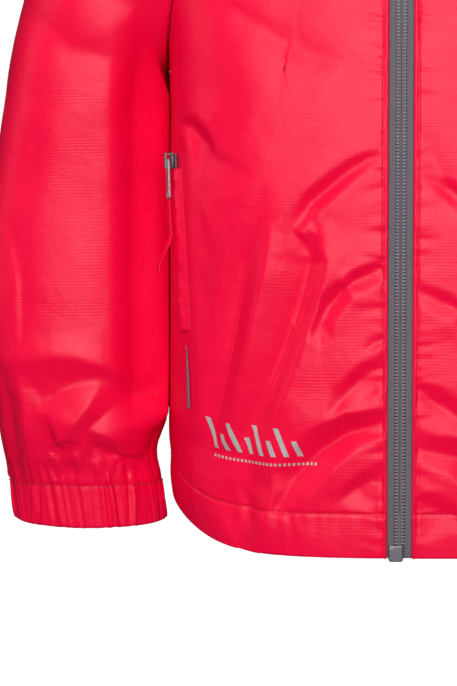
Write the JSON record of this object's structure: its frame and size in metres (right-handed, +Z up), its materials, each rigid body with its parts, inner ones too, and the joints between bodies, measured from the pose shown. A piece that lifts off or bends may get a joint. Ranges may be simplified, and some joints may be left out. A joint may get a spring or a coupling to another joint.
{
  "type": "kids rain jacket",
  "caption": "Hollow zipped rain jacket for a small child, in its worn shape, with a stand collar, gathered cuffs and slanted side pockets.",
  "frame": {"origin": "the middle of the neck, level with the inner ends of the shoulder seams, where the wearer holds the jacket", "axes": "+Z up, the front faces -Y, and the wearer's right is at -X"},
  "size_m": [0.4568, 0.1817, 0.4663],
  "materials": {
    "shell": "red woven nylon with a thin coating, fine weave, satin sheen",
    "zip_tape": "grey knitted polyester tape, dull",
    "zip_coil": "grey sewn coil",
    "hardware": "grey zip metal, satin",
    "stripe": "silver grey reflective tape, fine grain"
  },
  "bodies": {
    "jacket": {"back": "shell", "collar": "shell", "front_right": "shell", "front_left": "shell", "sleeve_right": "shell", "sleeve_left": "shell", "cuff_right": "shell", "cuff_left": "shell", "pocket_lip_right": "shell", "pocket_lip_left": "shell", "zip_tape_right": "zip_tape", "zip_tape_left": "zip_tape", "zip_coil": "zip_coil", "pocket_zip_right": "zip_coil", "pocket_zip_left": "zip_coil", "zip_box": "hardware", "zip_slider": "hardware", "pocket_slider_right": "hardware", "pocket_slider_left": "hardware", "stripe_right": "stripe", "stripe_left": "stripe"},
    "main_pull": {"zip_pull": "hardware"},
    "right_pocket_pull": {"pocket_pull_right": "hardware", "pocket_tab_right": "shell"},
    "left_pocket_pull": {"pocket_pull_left": "hardware", "pocket_tab_left": "shell"}
  },
  "joints": [
    {"name": "main_pull_swing", "type": "hinge", "parent": "jacket", "child": "main_pull", "pos_m": [0, -0.0651, -0.02442], "axis": [-1, 0, 0], "range_deg": [0, 150]},
    {"name": "right_pocket_pull_swing", "type": "hinge", "parent": "jacket", "child": "right_pocket_pull", "pos_m": [-0.12565, -0.05833, -0.2193], "axis": [-0.3541, 0.9249, -0.1383], "range_deg": [0, 135]},
    {"name": "left_pocket_pull_swing", "type": "hinge", "parent": "jacket", "child": "left_pocket_pull", "pos_m": [0.12565, -0.05833, -0.2193], "axis": [-0.3541, -0.9249, 0.1383], "range_deg": [0, 135]}
  ]
}
